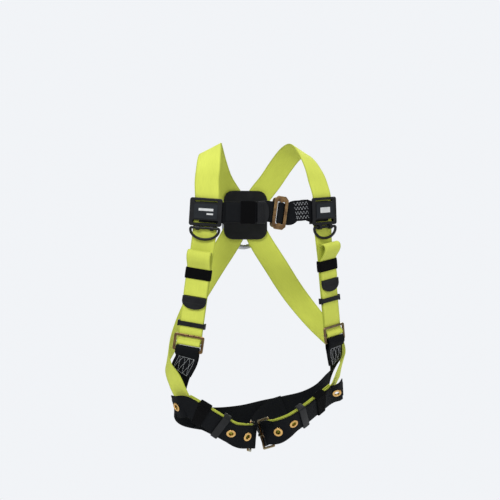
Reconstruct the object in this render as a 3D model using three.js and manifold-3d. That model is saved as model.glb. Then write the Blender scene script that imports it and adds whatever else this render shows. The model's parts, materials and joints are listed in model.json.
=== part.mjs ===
/**
 * Full-body fall-arrest harness in the shape it takes when it is worn and fastened.
 *
 * Units are millimetres, +Z is up.  The wearer faces -Y, and their left side is +X.  The origin lies
 * midway between the two points where the shoulder straps cross the crest of the shoulders.
 * Each strap runs along a route: stations with a place and the direction across the webbing.
 */
import * as THREE from "three";
import { mergeVertices } from "three/addons/utils/BufferGeometryUtils.js";
import Module from "manifold-3d";

const wasm = await Module();
wasm.setup();

// ---------------------------------------------------------------- driving dimensions
const WEBBING_WIDTH = 45;
const CHEST_WEBBING_WIDTH = 38;
const WEBBING_THICKNESS = 2;
const LAYER_PITCH = 2.8; // from one layer of webbing to the next one lying on it
const SPAN_STEPS = 2; // sections between two stations of a route
const TWIST_STEPS = 7; // the same, for a strap that twists over its whole width

const HIP_DROP = 7.5; // how far the worn harness hangs lower on the wearer's right, and higher on the left
const LEG_SHIFT = 5; // how far the leg straps sit toward the wearer's right

const CHEST_PLATE = { width: 60, top: 24, bottom: -27.3, back: 4.3, front: 7.6 };
const CHEST_PLATE_CENTRE = new THREE.Vector3(110, -65, -118);
const CHEST_PLATE_RUN = new THREE.Vector3(0.05, 0.06, -1);
const LOOP_PIVOT = { y: -30.8, z: 6.4 };

const TORSO_TOP = new THREE.Vector3(111.4, -63.3, -146);
const TORSO_SLOPE = new THREE.Vector3(0.121, 0.11, -1);
const ADJUSTER_HEIGHT = -352;
const ADJUSTER = { width: 58, height: 32, bar: 5, back: 4.2, front: 7.7 };
const ROLL_RADIUS = 4; // middle of the webbing where it rolls round a bar

const CHEST_DEPTH = -96; // foremost line of the chest strap
const CHEST_CURVE = 0.00255; // how the chest strap falls back toward the shoulders
const CHEST_BUCKLE_X = 17;
const CHEST_LEAN = 8; // degrees that the chest buckle leans

const GROMMET = { outer: 17, hole: 9, height: 4.6, pinch: 1.5 };
const LEG_BUCKLE = { width: 57, reach: 38, bar: 4.6 };

// Wearer's right and left: heights of the pieces on each torso strap, how far each strap turns
// outward in degrees, how far it stands in at the shoulder, and how the free leg strap end lies.
const SIDES = [
  {
    name: "right", sign: -1, elastic: -229, tab: -281, keeper: -319, rise: 0,
    plateYaw: 20, yaw: 28, shoulderTurn: 0, shoulderInset: 0, outerGrommet: 20.5,
    tip: [[156, -22, -470, 0.86, -0.36, -0.3], [149, -38, -469, 0.76, -0.5, -0.4]],
  },
  {
    name: "left", sign: 1, elastic: -220, tab: -259, keeper: -286, rise: 3,
    plateYaw: 26, yaw: 33, shoulderTurn: 12, shoulderInset: 6, outerGrommet: 19.7,
    tip: [[162, -40, -456, 0.48, -0.82, -0.28], [151, -49, -462, 0.55, -0.72, -0.44]],
  },
];

// ---------------------------------------------------------------- finishes
function finish(color, roughness, metalness) {
  return () => new THREE.MeshStandardMaterial({ color, roughness, metalness });
}
const yellowWebbing = finish(0xd9ec3a, 0.85, 0);
const blackWebbing = finish(0x15181c, 0.85, 0);
const blackPlastic = finish(0x202226, 0.5, 0);
const elastic = finish(0x0b0c0d, 0.95, 0);
const bronze = finish(0x6e5126, 0.35, 1);
const brass = finish(0xb98a3c, 0.3, 1);
const steel = finish(0xa9acb0, 0.3, 1);
const labelFabric = finish(0x1b2026, 0.7, 0);

// ---------------------------------------------------------------- solids
const vec = (x, y, z) => new THREE.Vector3(x, y, z);

function toSolid(geometry) {
  const bare = geometry.clone();
  bare.deleteAttribute("normal");
  bare.deleteAttribute("uv");
  const merged = mergeVertices(bare, 1e-4);
  return new wasm.Manifold(new wasm.Mesh({
    numProp: 3,
    vertProperties: new Float32Array(merged.attributes.position.array),
    triVerts: new Uint32Array(merged.index.array),
  }));
}

function toGeometry(solid) {
  const mesh = solid.getMesh();
  const geometry = new THREE.BufferGeometry();
  geometry.setAttribute("position", new THREE.BufferAttribute(mesh.vertProperties, 3));
  geometry.setIndex(new THREE.BufferAttribute(mesh.triVerts, 1));
  geometry.computeVertexNormals();
  return geometry;
}

function join(first, ...others) {
  return toGeometry(others.reduce((sum, other) => sum.add(toSolid(other)), toSolid(first)));
}

function cut(first, ...tools) {
  return toGeometry(tools.reduce((rest, tool) => rest.subtract(toSolid(tool)), toSolid(first)));
}

function box(xMin, xMax, yMin, yMax, zMin, zMax) {
  const geometry = new THREE.BoxGeometry(xMax - xMin, yMax - yMin, zMax - zMin);
  return geometry.translate((xMin + xMax) / 2, (yMin + yMax) / 2, (zMin + zMax) / 2);
}

/** A rod along X. */
function rod(radius, length, y = 0, z = 0, x = 0, sides = 12) {
  return new THREE.CylinderGeometry(radius, radius, length, sides).rotateZ(Math.PI / 2).translate(x, y, z);
}

/** A rectangle with round corners, as an outline or as a hole. */
function roundedRectangle(Kind, xMin, xMax, yMin, yMax, radius) {
  const outline = new Kind();
  outline.moveTo(xMin + radius, yMin);
  outline.lineTo(xMax - radius, yMin);
  outline.absarc(xMax - radius, yMin + radius, radius, -Math.PI / 2, 0);
  outline.lineTo(xMax, yMax - radius);
  outline.absarc(xMax - radius, yMax - radius, radius, 0, Math.PI / 2);
  outline.lineTo(xMin + radius, yMax);
  outline.absarc(xMin + radius, yMax - radius, radius, Math.PI / 2, Math.PI);
  outline.lineTo(xMin, yMin + radius);
  outline.absarc(xMin + radius, yMin + radius, radius, Math.PI, Math.PI * 1.5);
  return outline;
}

/** A straight top edge with a round belly hanging from it. */
function halfRound(Kind, half, top, shoulder, bottom) {
  const outline = new Kind();
  outline.moveTo(half, top);
  outline.lineTo(-half, top);
  outline.lineTo(-half, shoulder);
  const belly = shoulder + (bottom - shoulder) * 0.6;
  outline.bezierCurveTo(-half * 0.97, belly, -half * 0.5, bottom, 0, bottom);
  outline.bezierCurveTo(half * 0.5, bottom, half * 0.97, belly, half, shoulder);
  return outline;
}

/** A flat outline made thick from back to front, with eased edges. */
function slab(shape, back, front, bevel, curveSegments = 2) {
  const geometry = new THREE.ExtrudeGeometry(shape, {
    depth: front - back - 2 * bevel,
    curveSegments,
    bevelEnabled: bevel > 0,
    bevelThickness: bevel,
    bevelSize: bevel,
    bevelOffset: -bevel,
    bevelSegments: 1,
  });
  return geometry.translate(0, 0, back + bevel);
}

// ---------------------------------------------------------------- frames, stations and routes
/** A right-handed set of axes at a point: x, then y = z cross x, and z facing away from the wearer. */
class Frame {
  constructor(origin, x, z) {
    this.origin = origin.clone();
    this.z = z.clone().normalize();
    this.x = x.clone().addScaledVector(this.z, -x.dot(this.z)).normalize();
    this.y = this.z.clone().cross(this.x);
  }

  point(x, y, z) {
    return this.origin.clone()
      .addScaledVector(this.x, x)
      .addScaledVector(this.y, y)
      .addScaledVector(this.z, z);
  }

  matrix() {
    return new THREE.Matrix4().makeBasis(this.x, this.y, this.z).setPosition(this.origin);
  }
}

/** The path of a strap: its middle, and the direction across its width. */
class Route extends THREE.Curve {
  constructor(stations) {
    super();
    this.count = stations.length;
    this.middle = new THREE.CatmullRomCurve3(stations.map((station) => station.at));
    this.width = new THREE.CatmullRomCurve3(stations.map((station) => station.across));
    this.first = 0;
    this.last = this.count - 1;
  }

  /** The stretch between two stations, which may be fractions. */
  between(first, last) {
    const stretch = Object.create(this);
    stretch.first = first;
    stretch.last = last;
    return stretch;
  }

  /** The axes at a station: x across the strap, y back along it, z out of its face. */
  frameAt(station) {
    const t = THREE.MathUtils.clamp(station / (this.count - 1), 0, 1);
    const along = this.middle.getTangent(t);
    const across = this.width.getPoint(t);
    across.addScaledVector(along, -across.dot(along)).normalize();
    return new Frame(this.middle.getPoint(t), across, along.clone().cross(across));
  }

  framesFor(steps) {
    return Array.from({ length: steps + 1 }, (_, index) =>
      this.frameAt(THREE.MathUtils.lerp(this.first, this.last, index / steps)));
  }

  getSpacedPoints(steps) {
    return this.framesFor(steps).map((frame) => frame.origin);
  }

  computeFrenetFrames(steps) {
    const frames = this.framesFor(steps);
    return {
      tangents: frames.map((frame) => frame.y.clone().negate()),
      normals: frames.map((frame) => frame.x),
      binormals: frames.map((frame) => frame.z),
    };
  }
}

function sweep(shape, route, steps) {
  return new THREE.ExtrudeGeometry(shape, { extrudePath: route, steps, curveSegments: 2 });
}

function webbing(stations, width = WEBBING_WIDTH, spanSteps = SPAN_STEPS) {
  const route = new Route(stations);
  const half = WEBBING_THICKNESS / 2;
  const section = new THREE.Shape();
  section.moveTo(-width / 2, -half);
  section.lineTo(width / 2, -half);
  section.lineTo(width / 2, half);
  section.lineTo(-width / 2, half);
  return { route, geometry: sweep(section, route, (stations.length - 1) * spanSteps) };
}

/** A sleeve round a strap, from station to station of its route. */
function sleeve(route, first, last, inner, wall, steps = 3) {
  const { width, back, front } = inner;
  const shape = new THREE.Shape();
  shape.moveTo(-width / 2 - wall, back - wall);
  shape.lineTo(width / 2 + wall, back - wall);
  shape.lineTo(width / 2 + wall, front + wall);
  shape.lineTo(-width / 2 - wall, front + wall);
  const opening = new THREE.Path();
  opening.moveTo(-width / 2, back);
  opening.lineTo(-width / 2, front);
  opening.lineTo(width / 2, front);
  opening.lineTo(width / 2, back);
  shape.holes.push(opening);
  return sweep(shape, route.between(first, last), steps);
}

/** How the worn harness settles: lower on the wearer's right, and the legs a little to that side. */
function settle(point) {
  const { clamp } = THREE.MathUtils;
  const rise = HIP_DROP * clamp((-120 - point.z) / 230, 0, 1) * clamp(point.x / 60, -1, 1);
  const shift = LEG_SHIFT * clamp((-380 - point.z) / 90, 0, 1) * clamp(Math.abs(point.x) / 60, 0, 1);
  return vec(point.x - shift, point.y, point.z + rise);
}

/** Stations from rows of place and facing, given for the wearer's left side. */
function bodyStations(rows, sign, lift = 0) {
  const places = rows.map(([x, y, z]) => vec(x, y, z));
  return rows.map(([, , , faceX, faceY, faceZ, extra = 0], index) => {
    const before = places[Math.max(index - 1, 0)];
    const after = places[Math.min(index + 1, places.length - 1)];
    const along = after.clone().sub(before).normalize();
    const face = vec(faceX, faceY, faceZ);
    face.addScaledVector(along, -face.dot(along)).normalize();
    const at = places[index].clone().addScaledVector(face, lift + extra);
    at.x *= sign;
    along.x *= sign;
    face.x *= sign;
    return { at: settle(at), across: face.clone().cross(along) };
  });
}

/** Stations in the plane of a frame's y and z. */
function foldStations(frame, points) {
  return points.map(([y, z]) => ({ at: frame.point(0, y, z), across: frame.x }));
}

// ---------------------------------------------------------------- the harness
const harness = new THREE.Group();

function add(name, geometry, material, frame) {
  const mesh = new THREE.Mesh(geometry, material());
  mesh.name = name;
  if (frame) mesh.applyMatrix4(frame.matrix());
  harness.add(mesh);
}

const yawFace = (yaw, sign) => {
  const angle = THREE.MathUtils.degToRad(yaw);
  return vec(sign * Math.sin(angle), -Math.cos(angle), 0);
};

function sideFrame(place, run, yaw, sign) {
  const along = vec(run.x * sign, run.y, run.z).normalize();
  const face = yawFace(yaw, sign);
  face.addScaledVector(along, -face.dot(along)).normalize();
  return new Frame(settle(vec(place.x * sign, place.y, place.z)), face.clone().cross(along), face);
}

function plateFrame(side) {
  const place = CHEST_PLATE_CENTRE.clone().add(vec(0, 0, side.rise));
  return sideFrame(place, CHEST_PLATE_RUN, side.plateYaw, side.sign);
}

function torsoFrame(height, side) {
  const drop = TORSO_TOP.z - height;
  const place = TORSO_TOP.clone().addScaledVector(TORSO_SLOPE, drop);
  const turn = THREE.MathUtils.clamp(drop / 40, 0, 1);
  const yaw = THREE.MathUtils.lerp(side.plateYaw + 3, side.yaw, turn);
  return sideFrame(place, TORSO_SLOPE, yaw, side.sign);
}

function torsoStation(height, side, lift = 0) {
  const frame = torsoFrame(height, side);
  return { at: frame.point(0, 0, lift), across: frame.x };
}

// ---- shoulder strap: from the chest plate, over the shoulder, to the dorsal pad
const SHOULDER_LINE = [
  [107.5, -59, -64, 0.28, -0.9, 0.3],
  [103, -50, -38, 0.3, -0.75, 0.6],
  [96, -28, -14, 0.38, -0.4, 0.83],
  [87, 0, 0, 0.48, 0, 0.88],
  [77, 30, -6, 0.42, 0.4, 0.82],
  [64, 58, -28, 0.28, 0.75, 0.6],
  [48, 79, -58, 0.12, 0.95, 0.3],
  [34, 85.8, -78, 0, 1, 0.05],
  [20, 86, -97, 0, 1, 0],
];
const PAD = { width: 86, height: 94, y: 80, thickness: 4, z: -122 };
const CROSS_DEPTH = PAD.y + PAD.thickness + 1.8;

const TURN_SHARE = [0.6, 1, 1, 0.6, 0.2, 0, 0, 0, 0]; // how much of a side's own turn each row takes

function shoulderRows({ shoulderTurn, shoulderInset }) {
  return SHOULDER_LINE.map(([x, y, z, ...face], index) => {
    const share = TURN_SHARE[index];
    const angle = THREE.MathUtils.degToRad(shoulderTurn * share);
    const facing = vec(...face).applyAxisAngle(vec(0, 0, 1), angle);
    return [x - shoulderInset * share, y, z, ...facing.toArray()];
  });
}

function buildShoulderStrap(side) {
  const start = foldStations(plateFrame(side), [[0.3, 0], [14, 0], [27, 0]]);
  const body = bodyStations(shoulderRows(side), side.sign);
  const layer = side.sign > 0 ? LAYER_PITCH : 0;
  body.slice(-2).forEach((station) => { station.at.y += layer; });
  const last = body[body.length - 1];
  const crossing = { at: vec(side.sign * 1.2, CROSS_DEPTH + layer, PAD.z + 1.6), across: last.across };
  const stations = [...start.map(flip), ...body, crossing];
  add(`shoulder_strap_${side.name}`, webbing(stations).geometry, yellowWebbing);
}

/** The same station for a strap that runs the other way with the same face outward. */
function flip(station) {
  return { at: station.at, across: station.across.clone().negate() };
}

// ---- torso strap: chest plate, adjuster, back up as the tail, slack fold and end tab
const ADJUSTER_ROLL = [
  [12, 0], [4, 0], [0, 0], [-2.83, 1.17], [-4, 4], [-2.83, 6.83], [0, 8], [3.2, 7], [6.6, 4.4],
  [11, 2.9], [17, LAYER_PITCH], [26, LAYER_PITCH],
];
const SLACK_FOLD = [
  [0, 2.8], [10, 3], [21, 4.4], [28, 8], [31, 13.5], [28.5, 19], [22, 20.5], [14, 17], [6, 10.4],
  [0, 6.2],
];

function buildTorsoStrap(side) {
  const adjuster = torsoFrame(ADJUSTER_HEIGHT, side);
  const foldBase = side.elastic + 11;
  const stations = [
    ...foldStations(plateFrame(side), [[-0.3, 0], [-14, 0], [-26, 0]]),
    ...[-165, -190, -245, -325].map((height) => torsoStation(height, side)),
    ...foldStations(adjuster, ADJUSTER_ROLL),
    ...[-300, side.elastic - 20].map((height) => torsoStation(height, side, LAYER_PITCH)),
    ...foldStations(torsoFrame(foldBase, side), SLACK_FOLD),
    ...[foldBase - 8, side.elastic - 10, side.tab + 12.6]
      .map((height) => torsoStation(height, side, LAYER_PITCH * 2)),
  ];
  add(`torso_strap_${side.name}`, webbing(stations).geometry, yellowWebbing);
}

/** Half-round moulded end of the tail, with a sunk panel. */
function buildTailTab(side) {
  const frame = torsoFrame(side.tab, side);
  const level = LAYER_PITCH * 2;
  const body = slab(halfRound(THREE.Shape, 22.8, 12, 2, -11.5), level - 1.4, level + 3.6, 0.6, 6);
  const panel = slab(roundedRectangle(THREE.Shape, -17.5, 17.5, 0, 8.5, 1.5), level + 2.8, level + 5, 0);
  add(`tail_tab_${side.name}`, cut(body, panel), blackPlastic, frame);
}

function straightRoute(frame, length) {
  const stations = foldStations(frame, [[length / 2, 0], [-length / 2, 0]]);
  return new Route(stations);
}

/** A straight sleeve in the frame's own axes. */
function straightSleeve(length, inner, wall, sections = 1) {
  const own = new Frame(vec(0, 0, 0), vec(1, 0, 0), vec(0, 0, 1));
  return sleeve(straightRoute(own, length), 0, 1, inner, wall, sections);
}

function buildTorsoKeepers(side) {
  const elasticInner = { width: 46.4, back: -1.7, front: LAYER_PITCH * 2 + 1.8 };
  add(`elastic_keeper_${side.name}`, straightSleeve(20, elasticInner, 1.3), elastic,
    torsoFrame(side.elastic, side));
  const keeperInner = { width: 46.6, back: -1.8, front: LAYER_PITCH + 1.8 };
  const band = straightSleeve(8.5, keeperInner, 1.8);
  const lugs = [box(-26.2, -24, -5.5, 5.5, -2.8, 6), box(24, 26.2, -5.5, 5.5, -2.8, 6)];
  add(`strap_keeper_${side.name}`, join(band, ...lugs), blackPlastic, torsoFrame(side.keeper, side));
}

// ---- friction adjuster: frame, and the bar that the webbing rolls round
function buildAdjuster(side) {
  const frame = torsoFrame(ADJUSTER_HEIGHT, side);
  const { width, height, bar, back, front } = ADJUSTER;
  const shape = roundedRectangle(THREE.Shape, -width / 2, width / 2, -height / 2, height / 2, 4);
  shape.holes.push(roundedRectangle(
    THREE.Path, -width / 2 + bar, width / 2 - bar, -height / 2 + bar, height / 2 - bar, 1.2));
  const groove = box(-27.3, 27.3, -3, 4.6, back - 1, back + 2.5);
  add(`adjuster_frame_${side.name}`, cut(slab(shape, back, front, 0.7), groove), bronze, frame);
  add(`adjuster_bar_${side.name}`, rod(2.2, 53.4, 0, ROLL_RADIUS), steel, frame);
}

// ---- chest plate with its hinged lanyard loop and its label
function buildChestPlate(side) {
  const frame = plateFrame(side);
  const { width, top, bottom, back, front } = CHEST_PLATE;
  const half = width / 2;
  const outline = roundedRectangle(THREE.Shape, -half, half, bottom, top, 4.5);
  outline.holes.push(roundedRectangle(THREE.Path, -21, 21, 16.5, 19, 0.8));
  outline.holes.push(roundedRectangle(THREE.Path, -23, 23, -21.5, -16.8, 1.5));
  const face = slab(outline, back, front, 0.8);
  const wallHeight = [-3.2, back + 1];
  const walls = [
    box(half - 5.6, half - 1, bottom + 5, top - 5, ...wallHeight),
    box(-half + 1, -half + 5.6, bottom + 5, top - 5, ...wallHeight),
  ];
  const bridges = [14.5, -20.5].map((y) => box(-half + 1, half - 1, y - 4, y + 4, -4.4, -1.6));
  const inner = side.sign > 0 ? [-half - 3, -half + 8] : [half - 8, half + 3];
  const chestGap = box(...inner, -21.6, 19, 1.3, back + 0.3);
  const knuckles = [-13, 13].map((x) => rod(4.6, 7, LOOP_PIVOT.y, LOOP_PIVOT.z, x));
  const webs = [-13, 13].map((x) => box(x - 3.5, x + 3.5, LOOP_PIVOT.y, bottom + 2, back + 0.2, front));
  const barHole = rod(3.3, 60, LOOP_PIVOT.y, LOOP_PIVOT.z);
  const solid = cut(join(face, ...walls, ...bridges, ...knuckles, ...webs), barHole,
    chestGap);
  add(`chest_plate_${side.name}`, solid, blackPlastic, frame);

  const pivot = new Frame(frame.point(0, LOOP_PIVOT.y, LOOP_PIVOT.z), frame.x, frame.z);
  const ring = halfRound(THREE.Shape, 29, 2.5, -3, -23.3);
  ring.holes.push(halfRound(THREE.Path, 23.8, -2.5, -4, -18.6));
  add(`lanyard_loop_${side.name}`, slab(ring, -2.3, 2.3, 0.9, 7), blackPlastic, pivot);

  const label = roundedRectangle(THREE.Shape, -21.5, 21.5, -14, 13, 1.5);
  add(`label_${side.name}`, slab(label, front + 0.3, front + 1.2, 0.2), labelFabric, frame);
}

// ---- chest straps and the mating buckle
function chestFrame(x) {
  const y = CHEST_DEPTH + CHEST_CURVE * x * x;
  const face = vec(2 * CHEST_CURVE * x, -1, 0).normalize();
  const z = x > CHEST_BUCKLE_X ? -121.5 + (x - CHEST_BUCKLE_X) * 0.11 : -120 - (x + 80) * 0.015;
  return new Frame(vec(x, y, z), vec(-face.y, face.x, 0), face);
}

function chestStation(x, lift) {
  const frame = chestFrame(x);
  return { at: frame.point(0, 0, lift), across: frame.y };
}

function chestBuckleFrame() {
  const level = chestFrame(CHEST_BUCKLE_X);
  const lean = THREE.MathUtils.degToRad(CHEST_LEAN);
  const x = level.x.clone().multiplyScalar(Math.cos(lean)).addScaledVector(level.y, -Math.sin(lean));
  return new Frame(level.origin, x, level.z);
}

function buckleStations(points) {
  const frame = chestBuckleFrame();
  return points.map(([x, z]) => ({ at: frame.point(x, 0, z), across: frame.y }));
}

/** Stations inside a chest plate, from its outer side toward the middle of the chest. */
function plateStations(side, points) {
  const frame = plateFrame(side);
  return points.map((x) => ({ at: frame.point(-side.sign * x, -1.6, 2.75), across: frame.y }));
}

function buildChestStraps() {
  const barRoll = [[-20, 1.3], [-15, 2], [-11, 2.5], [-8.4, 3.5], [-7.4, 5.7], [-8.4, 7.9], [-11, 8.8],
    [-15, 8.7], [-20, 6.8], [-25, 4.3]];
  const foldBack = [[-74, 2.9], [-76.2, 3.2], [-77.2, 4.3], [-76.2, 5.4], [-74, 5.7]];
  const right = [
    ...plateStations(SIDES[0], [-12, 8, 28]),
    ...[-74, -60, -40, -20].map((x) => chestStation(x, x < -70 ? 0.8 : 0)),
    ...buckleStations(barRoll),
    ...[-24, -40, -60].map((x) => chestStation(x, LAYER_PITCH)),
    ...foldBack.map(([x, lift]) => chestStation(x, lift)),
    ...[-60, -40, -24].map((x) => chestStation(x, LAYER_PITCH * 2)),
  ];
  add("chest_strap_right", webbing(right, CHEST_WEBBING_WIDTH).geometry, blackWebbing);

  const barPass = [[22, -0.4], [14, -0.2], [8, 0.4], [2.5, 2.6], [-1.6, 6], [-4, 9.4], [-4.6, 12.4], [-3.4, 14.8],
    [0, 15.5], [3.4, 14.8], [4.6, 12.4], [4.8, 9.4], [5.6, 6], [8.5, 3.6], [13, 2.6], [22, 2.4]];
  const left = [
    ...plateStations(SIDES[1], [-12, 8, 28]),
    ...[74, 60, 48].map((x) => chestStation(x, x > 70 ? 0.8 : 0)),
    ...buckleStations(barPass),
    ...[48, 62, 78].map((x) => chestStation(x, LAYER_PITCH + (x > 70 ? 0.8 : 0))),
  ];
  add("chest_strap_left", webbing(left, CHEST_WEBBING_WIDTH).geometry, blackWebbing);
}

function octagon(Kind, width, height, corner) {
  const x = width / 2;
  const y = height / 2;
  const outline = new Kind();
  outline.moveTo(-x + corner, -y);
  outline.lineTo(x - corner, -y);
  outline.lineTo(x, -y + corner);
  outline.lineTo(x, y - corner);
  outline.lineTo(x - corner, y);
  outline.lineTo(-x + corner, y);
  outline.lineTo(-x, y - corner);
  outline.lineTo(-x, -y + corner);
  return outline;
}

function buildChestBuckle() {
  const frame = chestBuckleFrame();
  const plate = octagon(THREE.Shape, 27, 61, 6);
  plate.holes.push(roundedRectangle(THREE.Path, -7, -2.3, -20, 20, 1));
  plate.holes.push(roundedRectangle(THREE.Path, 2.3, 7, -20, 20, 1));
  add("chest_buckle_plate", slab(plate, 10.5, 14, 0.7), bronze, frame);
  const receiver = roundedRectangle(THREE.Shape, -15, 13, -27.5, 27.5, 6);
  receiver.holes.push(roundedRectangle(THREE.Path, -9.4, 9.2, -21, 21, 1.5));
  add("chest_buckle_receiver", slab(receiver, 4.7, 7.4, 0.5), bronze, frame);
}

function buildChestKeeper() {
  const stations = [-53, -44, -35, -24].map((x) => chestStation(x, 0));
  const inner = { width: CHEST_WEBBING_WIDTH + 2, back: -2, front: LAYER_PITCH * 2 + 2.1 };
  add("chest_keeper", sleeve(new Route(stations), 0.2, 2.8, inner, 1.2, 4), elastic);

  const middle = chestFrame(-12);
  const shape = new THREE.Shape();
  shape.moveTo(-9.5, -20);
  shape.lineTo(4, -20);
  shape.bezierCurveTo(10, -16, 12, -8, 12, 0);
  shape.bezierCurveTo(12, 8, 10, 16, 4, 20);
  shape.lineTo(-9.5, 20);
  const body = slab(shape, 7.6, 12.2, 0.6, 6);
  const frame = new Frame(middle.origin, middle.x.clone().addScaledVector(middle.z, 0.14), middle.z
    .clone().addScaledVector(middle.x, -0.14));
  const ribs = [-5, -1, 3].map((x) => box(x - 0.6, x + 0.6, -15, 15, 11.4, 13));
  add("chest_strap_tip", cut(body, ...ribs), blackPlastic, frame);
}

// ---- hip strap: rolled on the adjuster's lower bar, then out and back round the hip
const HIP_LINE = [
  [142, -42, -381, 0.55, -0.83, -0.05],
  [149, -30, -404, 0.68, -0.72, -0.1],
  [148.5, -13, -428, 0.86, -0.48, -0.15],
  [145.5, 11, -451, 0.97, 0, -0.2],
  [141, 45, -475, 0.84, 0.5, -0.15],
  [121, 75, -492, 0.58, 0.8, -0.12],
];
const SEAT_LINE = [
  [117.4, 78.6, -493.8, 0.58, 0.8, -0.12],
  [90, 97, -502, 0.3, 0.94, -0.1],
  [50, 107, -509, 0.12, 0.98, -0.08],
];

function buildHipStrap(side) {
  const adjuster = torsoFrame(ADJUSTER_HEIGHT, side);
  const line = bodyStations(HIP_LINE, side.sign);
  const under = bodyStations(HIP_LINE.slice(0, 2), side.sign, -LAYER_PITCH).reverse();
  const roll = [[-19, 1.9], [-15, 1.4], [-10.6, 1.8], [-6.7, 3.8], [-6.7, 8], [-10.6, 10.1], [-15, 10.4],
    [-19, 9.4]];
  const stations = [...under, ...foldStations(adjuster, roll), ...line];
  const { geometry } = webbing(stations, WEBBING_WIDTH, SPAN_STEPS * 2);
  add(`hip_strap_${side.name}`, geometry, blackWebbing);
}

function buildSeatStrap() {
  const middle = { at: settle(vec(0, 110, -512)), across: vec(0, 0, 1) };
  const stations = [...bodyStations(SEAT_LINE, -1), middle, ...bodyStations(SEAT_LINE, 1).reverse()];
  stations.filter(({ across }) => across.z < 0).forEach(({ across }) => across.negate());
  add("seat_strap", webbing(stations).geometry, blackWebbing);
}

// ---- back and thigh strap: dorsal pad, across the back, round the hip, to the leg buckle and back
const BACK_LINE = [
  [18, 86.2, -150, 0, 1, 0],
  [34, 89, -178, 0.03, 1, 0.03],
  [60, 93, -218, 0.14, 0.98, 0.05],
  [96, 88, -276, 0.45, 0.88, 0.05],
  [131, 64, -328, 0.75, 0.65, 0],
  [155, 31, -362, 0.94, 0.32, 0],
];
const HIP_WRAP_LINE = [
  [156.2, 28.8, -364, 0.94, 0.32, 0],
  [168, 4, -385, 1, 0.02, 0.02],
  [167.5, -13, -404, 0.97, -0.12, -0.1],
  [158, -27, -423, 0.86, -0.42, -0.25],
  [149, -32, -442, 0.78, -0.45, -0.42],
];
// The outer layer on the thigh, from the hip to the hinge bar of the leg buckle.
const THIGH_LINE = [
  [139, -44, -466, 0.55, -0.7, -0.46],
  [114, -57, -481, 0.42, -0.72, -0.53],
  [78, -66, -505, 0.28, -0.78, -0.55],
  [59, -67, -516, 0.15, -0.8, -0.57],
  [42, -63, -523, -0.12, -0.86, -0.45],
  [28, -54, -528, -0.55, -0.78, -0.28],
  [18.5, -40, -530, -0.95, -0.3, -0.1],
  [14.5, -14, -534, -0.995, -0.05, -0.05],
];
const HINGE_STATION = 6;
const BAND_LEVELS = { under: -6.2, over: -3.3 };

const thighStations = (sign, lift) => bodyStations(THIGH_LINE, sign, lift);

function legBuckleFrame(sign) {
  const base = thighStations(sign, BAND_LEVELS.under);
  const route = new Route(base);
  return route.frameAt(HINGE_STATION);
}

const LEG_ROLL = [[3.5, 7.6], [0, 8], [-2.83, 6.83], [-4, 4], [-2.83, 1.17], [0, 0], [4, 0]];

function buildBackStrap(side) {
  const layer = side.sign > 0 ? 0 : LAYER_PITCH;
  const body = bodyStations(BACK_LINE, side.sign);
  [1, 1, 1, 0.5].forEach((share, index) => {
    body[index].at.y += layer * share;
  });
  const crossing = { at: vec(side.sign * 1.2, CROSS_DEPTH + layer, PAD.z - 1.6), across: body[0].across };
  const { geometry } = webbing([crossing, ...body], WEBBING_WIDTH, TWIST_STEPS);
  add(`back_strap_${side.name}`, geometry, yellowWebbing);
}

function buildThighStrap(side) {
  const over = thighStations(side.sign, BAND_LEVELS.over).slice(0, HINGE_STATION);
  const under = thighStations(side.sign, BAND_LEVELS.under).slice(0, HINGE_STATION).reverse();
  const frame = legBuckleFrame(side.sign);
  const stations = [
    ...bodyStations(HIP_WRAP_LINE, side.sign),
    ...over,
    ...foldStations(frame, LEG_ROLL),
    ...under,
  ];
  const slot = box(-5, 5, -9, 6, -2, 10).applyMatrix4(frame.matrix());
  add(`thigh_strap_${side.name}`, cut(webbing(stations).geometry, slot), yellowWebbing);
}

// ---- leg strap: seat strap, between the legs, through the buckle, and out over the thigh
const LEG_REAR_LINE = [
  [86, 92.5, -500, 0.3, 0.94, -0.1],
  [64, 98.5, -509, 0.15, 0.97, -0.12],
  [44, 96, -523, -0.05, 0.9, -0.4],
  [27, 72, -536, -0.5, 0.4, -0.75],
  [17, 36, -541, -0.9, 0.1, -0.4],
];
const LEG_PASS = [[-44, -3], [-36, -1.8], [-29, -1.6], [-22.6, 0.5], [-19, 4.2], [-16, 7.5],
  [-13, 10.8], [-8.6, 14.4], [2, 14.8]];
const GROMMET_STATIONS = { buckle: 10, inner: 14.3, middle: 16 };

function legStrapStations({ sign, tip: tipLine }) {
  const rear = bodyStations(LEG_REAR_LINE, sign).map(flip);
  const frame = legBuckleFrame(sign);
  const rise = [3, 2, 1, 1.6, 3, 5.4];
  const over = bodyStations(THIGH_LINE.map((row, index) => [...row, rise[index] ?? 0]), sign)
    .slice(0, HINGE_STATION).reverse();
  const tip = bodyStations([...tipLine, THIGH_LINE[0]], sign).slice(0, 2).reverse();
  return [...rear, ...foldStations(frame, LEG_PASS), ...over, ...tip];
}

function buildLegStrap(side) {
  const stations = legStrapStations(side);
  const { route, geometry } = webbing(stations);
  const tip = route.frameAt(stations.length - 1);
  const holes = [-1, 1].map((edge) => tipCorner(edge).applyMatrix4(tip.matrix()));
  const grommets = { ...GROMMET_STATIONS, outer: side.outerGrommet };
  for (const [name, station] of Object.entries(grommets)) {
    const seat = route.frameAt(station);
    holes.push(...grommetSeats().map((seatCut) => seatCut.applyMatrix4(seat.matrix())));
    add(`grommet_${name}_${side.name}`, grommet(), brass, seat);
  }
  add(`leg_strap_${side.name}`, cut(geometry, ...holes), blackWebbing);
}

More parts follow.
